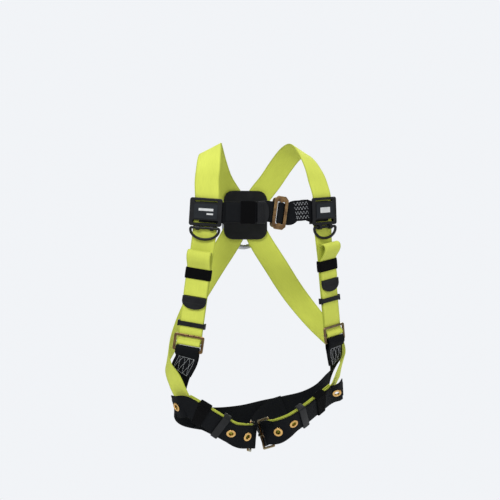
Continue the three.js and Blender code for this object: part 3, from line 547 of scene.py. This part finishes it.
def sleeve(name, frames, inner, wall, material, radius=1.6):
    """A thin band round the webbing: inner and outer rings joined at both ends."""
    width, back, front = inner
    outer = rounded_ring(width + 2 * wall, back - wall, front + wall, radius + wall * 0.6)
    hole = rounded_ring(width, back, front, radius * 0.6)
    count, verts, faces, uvs = len(outer), [], [], []
    middle, lengths = (back + front) / 2, [0.0]
    for k, at in enumerate(frames):
        if k:
            lengths.append(lengths[-1] + (at.origin - frames[k - 1].origin).length)
        shrink = 0.25 if k in (0, len(frames) - 1) else 0.0
        verts += [at.origin + at.x * (x - math.copysign(shrink, x))
                  + at.z * (z - math.copysign(shrink, z - middle)) for x, z in outer]
        verts += [at.origin + at.x * x + at.z * z for x, z in hole]
    for k in range(len(frames) - 1):
        a, b = k * 2 * count, (k + 1) * 2 * count
        for i in range(count):
            j = (i + 1) % count
            for shift, ring in ((0, outer), (count, hole)):
                faces.append((a + shift + i, b + shift + i, b + shift + j, a + shift + j))
                uvs += [(ring[i][0] * MM, lengths[k] * MM), (ring[i][0] * MM, lengths[k + 1] * MM),
                        (ring[j][0] * MM, lengths[k + 1] * MM), (ring[j][0] * MM, lengths[k] * MM)]
    for k in (0, len(frames) - 1):
        a = k * 2 * count
        for i in range(count):
            j = (i + 1) % count
            faces.append((a + i, a + j, a + count + j, a + count + i))
            uvs += [(outer[i][0] * MM, lengths[k] * MM)] * 4
    obj = make_object(name, verts, faces, uvs, material)
    fix_normals(obj)
    return obj


def straight(at, length, steps=5):
    """Frames along -y of a frame, as a route would give them."""
    return [Frame(at.point(0, length / 2 - length * k / steps, 0), at.x, at.z) for k in range(steps + 1)]


def cut_with(obj, cutters):
    """Takes the cutter solids out of a piece."""
    for cutter in cutters:
        modifier = obj.modifiers.new("cut", "BOOLEAN")
        modifier.operation, modifier.object, modifier.solver = "DIFFERENCE", cutter, "EXACT"
    bpy.context.view_layer.update()
    evaluated = obj.evaluated_get(bpy.context.evaluated_depsgraph_get())
    mesh = bpy.data.meshes.new_from_object(evaluated)
    obj.modifiers.clear()
    obj.data = mesh
    for cutter in cutters:
        bpy.data.objects.remove(cutter)


def tip_corner(at, edge, radius=8):
    """What is trimmed off one corner of a strap's end to round it."""
    middle = WIDTH / 2 - radius
    ring = [(edge * middle, 2), (edge * (middle + radius + 2), 2), (edge * (middle + radius + 2), -radius)]
    for step in range(11):
        angle = math.radians(9 * step)
        ring.append((edge * (middle + radius * math.cos(angle)), radius * (math.sin(angle) - 1)))
    n = len(ring)
    verts = [at.point(x, y, z) for z in (-4, 4) for x, y in ring]
    faces = [tuple(range(n))[::-1], tuple(range(n, 2 * n))]
    faces += [(k, (k + 1) % n, n + (k + 1) % n, n + k) for k in range(n)]
    cutter = make_object("cutter", verts, faces, smooth=False)
    fix_normals(cutter)
    return cutter


def drum(at, radius, depth, sides=28):
    """A plain cylinder along a frame's z, used for cutting."""
    verts = [at.point(radius * math.cos(2 * math.pi * k / sides), radius * math.sin(2 * math.pi * k / sides), z)
             for z in (-depth / 2, depth / 2) for k in range(sides)]
    faces = [tuple(range(sides))[::-1], tuple(range(sides, 2 * sides))]
    faces += [(k, (k + 1) % sides, sides + (k + 1) % sides, sides + k) for k in range(sides)]
    return make_object("cutter", verts, faces, smooth=False)


def lathe(name, at, profile, material, sides=40):
    """A profile of (radius, z) turned about a frame's z."""
    verts, faces = [], []
    for k in range(sides):
        angle = 2 * math.pi * k / sides
        verts += [at.point(r * math.cos(angle), r * math.sin(angle), z) for r, z in profile]
    n = len(profile)
    for k in range(sides):
        a, b = k * n, ((k + 1) % sides) * n
        faces += [(a + i, b + i, b + (i + 1) % n, a + (i + 1) % n) for i in range(n)]
    obj = make_object(name, verts, faces, None, material)
    fix_normals(obj)
    return obj


def round_loop(name, at, outline, half_x, half_z, material):
    """A closed ring of rounded section along an outline in the frame's x-y plane."""
    section = [(half_x * math.copysign(abs(math.cos(a)) ** 0.75, math.cos(a)),
                half_z * math.copysign(abs(math.sin(a)) ** 0.75, math.sin(a)))
               for a in (2 * math.pi * k / 16 for k in range(16))]
    count, frames = len(outline), []
    for k, (x, y) in enumerate(outline):
        (bx, by), (ax, ay) = outline[k - 1], outline[(k + 1) % count]
        along = (at.x * (ax - bx) + at.y * (ay - by)).normalized()
        frames.append(Frame(at.point(x, y, 0), along.cross(at.z), at.z))
    return loft(name, frames, section, material, closed=True)


def half_round(half, top, shoulder, bottom, corner=3.0, steps=14):
    """Mid-line of a half-round ring: straight bar, rounded shoulders and a round belly."""
    pts = []

    def bezier(p0, p1, p2, p3, n):
        for k in range(n):
            t = k / n
            pts.append(tuple((1 - t) ** 3 * a + 3 * (1 - t) ** 2 * t * b + 3 * (1 - t) * t * t * c + t ** 3 * d
                             for a, b, c, d in zip(p0, p1, p2, p3)))

    near = corner * 0.4
    bezier((-half + corner, top), (-half + near, top), (-half, top - near), (-half, top - corner), 5)
    belly = shoulder + (bottom - shoulder) * 0.6
    start = min(shoulder, top - corner)
    bezier((-half, start), (-half * 0.97, belly), (-half * 0.5, bottom), (0, bottom), steps)
    bezier((0, bottom), (half * 0.5, bottom), (half * 0.97, belly), (half, start), steps)
    bezier((half, top - corner), (half, top - near), (half - near, top), (half - corner, top), 5)
    for k in range(8):
        pts.append((half - corner - (2 * half - 2 * corner) * k / 8, top))
    return [p for k, p in enumerate(pts) if math.dist(p, pts[k - 1]) > 0.05]


def refined(node_name, bevel):
    """A close copy of a rigid CAD node with eased edges and smooth curved faces."""
    source = frame["nodes"][node_name]
    mesh = source.data.copy()
    bm = bmesh.new()
    bm.from_mesh(mesh)
    bmesh.ops.remove_doubles(bm, verts=bm.verts, dist=2e-6)
    bmesh.ops.dissolve_limit(bm, angle_limit=math.radians(1.5), verts=bm.verts, edges=bm.edges)
    bm.to_mesh(mesh)
    bm.free()
    obj = bpy.data.objects.new(node_name + "_fine", mesh)
    obj.matrix_world = source.matrix_world.copy()
    bpy.context.scene.collection.objects.link(obj)
    mesh.materials.clear()
    mesh.materials.append(MATERIALS[SLOT_OF[node_name]])
    mesh.shade_smooth()
    modifier = obj.modifiers.new("eased", "BEVEL")
    modifier.width, modifier.segments = bevel * MM, 2
    modifier.limit_method, modifier.angle_limit = "ANGLE", math.radians(38)
    modifier.use_clamp_overlap, modifier.harden_normals = True, False
    mesh.set_sharp_from_angle(angle=math.radians(50))
    weighted = obj.modifiers.new("shading", "WEIGHTED_NORMAL")
    weighted.keep_sharp = True
    finish_piece(obj, node_name)


# ------------------------------------------------------------------ stitches
STITCH_PITCH, THREAD_RADIUS, THREAD_RINGS, THREAD_SIDES = 3.2, 0.36, 5, 6


def stitch_lines(name, route, lines):
    """Rows of thread on the front of a strap.  A line is two (station, across) ends."""
    verts, faces = [], []
    radius, last = THREAD_RADIUS, THREAD_RINGS - 1
    turns = [2 * math.pi * q / THREAD_SIDES for q in range(THREAD_SIDES)]
    for (s0, u0), (s1, u1) in lines:
        def spot(t):
            at = route.frame_at(s0 + (s1 - s0) * t)
            return at, at.point(u0 + (u1 - u0) * t, 0, THICKNESS / 2)
        length = sum((spot((k + 1) / 8)[1] - spot(k / 8)[1]).length for k in range(8))
        count = max(1, round(length / STITCH_PITCH))
        for k in range(count):
            t0, t1 = (k + 0.1) / count, (k + 0.9) / count
            base = len(verts)
            for r in range(THREAD_RINGS):
                t = t0 + (t1 - t0) * r / last
                at, p = spot(t)
                p = p + at.z * (radius * (1.1 * math.sin(math.pi * r / last) - 0.35))
                run = (spot(min(t + 0.01, 1))[1] - spot(max(t - 0.01, 0))[1]).normalized()
                wide = run.cross(at.z).normalized()
                size = radius * (0.55 if r in (0, last) else 1.0)
                verts += [p + wide * size * math.cos(a) + at.z * size * math.sin(a) for a in turns]
            for r in range(last):
                a, b = base + r * THREAD_SIDES, base + (r + 1) * THREAD_SIDES
                faces += [(a + q, b + q, b + (q + 1) % THREAD_SIDES, a + (q + 1) % THREAD_SIDES)
                          for q in range(THREAD_SIDES)]
            faces.append(tuple(base + q for q in range(THREAD_SIDES))[::-1])
            faces.append(tuple(base + last * THREAD_SIDES + q for q in range(THREAD_SIDES)))
    obj = make_object(name, verts, faces, None, "thread")
    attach(obj, ROOT)


def box_x(s0, s1, half, crosses=3):
    """A sewn box with a row of crosses in it."""
    lines = [((s0, -half), (s0, half)), ((s1, -half), (s1, half)), ((s0, -half), (s1, -half)),
             ((s0, half), (s1, half))]
    step = 2 * half / crosses
    for k in range(crosses):
        a, b = -half + k * step, -half + (k + 1) * step
        lines += [((s0, a), (s1, b)), ((s1, a), (s0, b))]
    return lines


# ------------------------------------------------------------------ building
GROMMET_PROFILE = [
    (4.5, -1.9), (4.75, -2.2), (5.4, -2.35), (6.6, -2.3), (7.8, -2.05), (8.35, -1.8), (8.5, -1.55), (8.3, -1.4),
    (5.7, -1.3), (5.7, 1.3), (8.3, 1.4), (8.5, 1.6), (8.2, 1.95), (7.3, 2.25), (6.2, 2.42), (5.3, 2.4),
    (4.75, 2.2), (4.5, 1.8)]


def build_side(side):
    name, sign = side["name"], side["sign"]
    shoulder = webbing(f"shoulder_webbing_{name}", shoulder_route(side), "yellow_webbing")
    finish_piece(shoulder, f"shoulder_strap_{name}")
    torso = webbing(f"torso_webbing_{name}", torso_route(side), "yellow_webbing")
    finish_piece(torso, f"torso_strap_{name}")

    buckle = leg_buckle_frame(sign)
    back = webbing(f"back_and_thigh_webbing_{name}", back_route(side), "yellow_webbing")
    slot_box = Frame(buckle.point(0, -1.5, 4), buckle.x, buckle.z)
    corners = [slot_box.point(x, y, z) for x in (-5, 5) for y in (-7.5, 7.5) for z in (-6, 6)]
    box_faces = [(0, 1, 3, 2), (4, 6, 7, 5), (0, 4, 5, 1), (2, 3, 7, 6), (0, 2, 6, 4), (1, 5, 7, 3)]
    cutter = make_object("cutter", corners, box_faces, smooth=False)
    fix_normals(cutter)
    cut_with(back, [cutter])
    finish_piece(back, f"back_strap_{name}", f"thigh_strap_{name}")

    route = leg_route(side)
    leg = webbing(f"leg_webbing_{name}", route, "black_webbing")
    stations = {**GROMMET_STATIONS, "outer": side["outer_grommet"]}
    seats = {key: route.frame_at(station) for key, station in stations.items()}
    tip = route.frame_at(route.count - 1)
    cut_with(leg, [drum(at, 5.4, 9) for at in seats.values()] + [tip_corner(tip, edge) for edge in (-1, 1)])
    finish_piece(leg, f"leg_strap_{name}")
    for key, at in seats.items():
        eyelet = lathe(f"eyelet_{key}_{name}", at, GROMMET_PROFILE, "brass")
        finish_piece(eyelet, f"grommet_{key}_{name}")

    sleeve_frames = straight(torso_frame(side["elastic"], side), ELASTIC_LENGTH)
    band = sleeve(f"elastic_band_{name}", sleeve_frames, ELASTIC_INNER, ELASTIC_WALL, "elastic")
    finish_piece(band, f"elastic_keeper_{name}")
    thigh = Route(body_stations(THIGH_LINE, sign, 0))
    leg_band = sleeve(f"leg_elastic_band_{name}", thigh.frames(0.72, 1.25, 8), LEG_ELASTIC_INNER,
                      ELASTIC_WALL, "elastic")
    finish_piece(leg_band, f"leg_elastic_keeper_{name}")
    leg_keeper = sleeve(f"leg_keeper_band_{name}", thigh.frames(1.82, 2.25, 6), LEG_KEEPER_INNER,
                        LEG_KEEPER_WALL, "black_plastic")
    finish_piece(leg_keeper, f"leg_strap_keeper_{name}")

    plate = plate_frame(side)
    pivot = Frame(plate.point(0, LOOP_Y, LOOP_Z), plate.x, plate.z)
    loop = round_loop(f"loop_{name}", pivot, half_round(26.4, 0, -3.5, -20.9), 2.45, 2.25, "black_plastic")
    finish_piece(loop, f"lanyard_loop_{name}")

    for node_name, bevel in ((f"chest_plate_{name}", 0.5), (f"label_{name}", 0.15), (f"tail_tab_{name}", 0.5),
                             (f"strap_keeper_{name}", 0.5), (f"adjuster_frame_{name}", 0.6),
                             (f"leg_buckle_frame_{name}", 0.5), (f"leg_tongue_{name}", 0.4),
                             (f"adjuster_bar_{name}", 0.2)):
        refined(node_name, bevel)

    stitch_lines(f"hip_stitches_{name}", Route(hip_stations(side)), box_x(9.75, 11.05, 15.5))


def build_prints():
    """Plain pale patches where a plate carries its marking."""
    right_marks = [(-13, 14, 0.5, 5.0), (2, 14, -6.5, -3.5)]
    left_marks = [(-12, 12, -4.5, 5.5)]
    for side, patches in zip(SIDES, (right_marks, left_marks)):
        at = plate_frame(side)
        verts, faces = [], []
        for x0, x1, y0, y1 in patches:
            ring = rounded_ring(x1 - x0, y0, y1, 0.8)
            base = len(verts)
            middle = (x0 + x1) / 2
            for z in (MARK_BACK, MARK_FRONT):
                verts += [at.point(x + middle, y, z) for x, y in ring]
            n = len(ring)
            faces += [tuple(base + i for i in range(n))[::-1], tuple(base + n + i for i in range(n))]
            faces += [(base + i, base + (i + 1) % n, base + n + (i + 1) % n, base + n + i) for i in range(n)]
        obj = make_object(f"plain_mark_{side['name']}", verts, faces, None, "print")
        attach(obj, ROOT)


def build_middle():
    seat = webbing("hip_and_seat_webbing", seat_route(), "black_webbing")
    finish_piece(seat, "seat_strap", "hip_strap_right", "hip_strap_left")

    right, left = chest_right_route(), chest_left_route()
    finish_piece(webbing("chest_webbing_right", right, "chest_webbing", CHEST_WIDTH), "chest_strap_right")
    finish_piece(webbing("chest_webbing_left", left, "chest_webbing", CHEST_WIDTH), "chest_strap_left")
    rows = []
    for centre in (-12.6, -4.2, 4.2, 12.6):
        points = [(22.1 + 0.2 * k, centre + 3.1 * (-1) ** k) for k in range(10)]
        rows += zip(points, points[1:])
    stitch_lines("chest_stitches_left", left, rows)

    keeper = Route([chest_station(x, 0) for x in (-53, -44, -35, -24)])
    band = sleeve("chest_elastic_band", keeper.frames(0.2, 2.8, 12), CHEST_KEEPER_INNER, CHEST_KEEPER_WALL,
                  "elastic")
    finish_piece(band, "chest_keeper")
    for node_name, bevel in (("chest_strap_tip", 0.5), ("chest_buckle_plate", 0.7), ("chest_buckle_receiver", 0.5),
                             ("dorsal_pad", 0.9), ("dorsal_hub", 0.6)):
        refined(node_name, bevel)
    pivot = Frame(RING_PIVOT, Vector((-1, 0, 0)), Vector((0, 1, 0)))
    ring = round_loop("back_ring", pivot, half_round(37, 0, -24, -65, 6.0, 24), 4.9, 4.8, "steel")
    finish_piece(ring, "dorsal_ring")


for side in SIDES:
    build_side(side)
build_middle()
build_prints()


# ------------------------------------------------------------------ floor, light and camera
def build_stage():
    """A round pale floor well below the piece, which hangs as it does on the wearer."""
    level, radius, sides = -900, 1550, 96
    corners = [2 * math.pi * k / sides for k in range(sides)]
    verts = [Vector((radius * math.cos(angle), radius * math.sin(angle), level)) for angle in corners]
    floor = make_object("studio_floor", verts, [tuple(range(sides))])
    material = bpy.data.materials.new("studio_paper")
    tree, node = links(material)
    shader = node("ShaderNodeBsdfPrincipled", Base_Color=(0.9, 0.91, 0.91, 1), Roughness=0.9)
    out = node("ShaderNodeOutputMaterial")
    tree.links.new(shader.outputs[0], out.inputs[0])
    floor.data.materials.append(material)


def area_light(name, place, target, size, power):
    data = bpy.data.lights.new(name, "AREA")
    data.shape, data.size, data.energy = "DISK", size, power
    obj = bpy.data.objects.new(name, data)
    obj.location = place
    obj.rotation_euler = (Vector(target) - Vector(place)).to_track_quat("-Z", "Y").to_euler()
    bpy.context.scene.collection.objects.link(obj)


def build_light():
    world = bpy.data.worlds.new("studio")
    world.use_nodes = True
    nodes, wires = world.node_tree.nodes, world.node_tree.links
    background = nodes["Background"]
    background.inputs[0].default_value = (0.95, 0.97, 1.0, 1)
    path, level = nodes.new("ShaderNodeLightPath"), nodes.new("ShaderNodeMapRange")
    level.inputs["To Min"].default_value = 0.5
    level.inputs["To Max"].default_value = 0.93
    wires.new(path.outputs["Is Camera Ray"], level.inputs["Value"])
    wires.new(level.outputs[0], background.inputs[1])
    bpy.context.scene.world = world
    middle = (0, 0, -0.28)
    area_light("key", (-1.3, -2.2, 1.3), middle, 0.9, 45)
    area_light("fill", (1.7, -1.9, 0.4), middle, 1.6, 9)
    area_light("top", (0.2, 0.2, 1.9), middle, 1.4, 22)
    area_light("back", (0.9, 2.6, 0.9), middle, 1.4, 22)


CAMERA_DISTANCE = 3.2


def build_camera():
    """Level with the chest, 14 degrees round to the wearer's right."""
    across, ahead = Vector((0.9703, -0.2419, 0)), Vector((0.2419, 0.9703, 0))
    target = across * -0.0112 + ahead * -0.03 + Vector((0, 0, -0.189))
    data = bpy.data.cameras.new("camera")
    data.lens, data.sensor_width = 123.9, 36
    camera = bpy.data.objects.new("camera", data)
    camera.location = target - ahead * CAMERA_DISTANCE
    camera.rotation_euler = ahead.to_track_quat("-Z", "Y").to_euler()
    bpy.context.scene.collection.objects.link(camera)
    bpy.context.scene.camera = camera


build_stage()
build_light()
build_camera()
bpy.context.scene.view_settings.view_transform = "Standard"
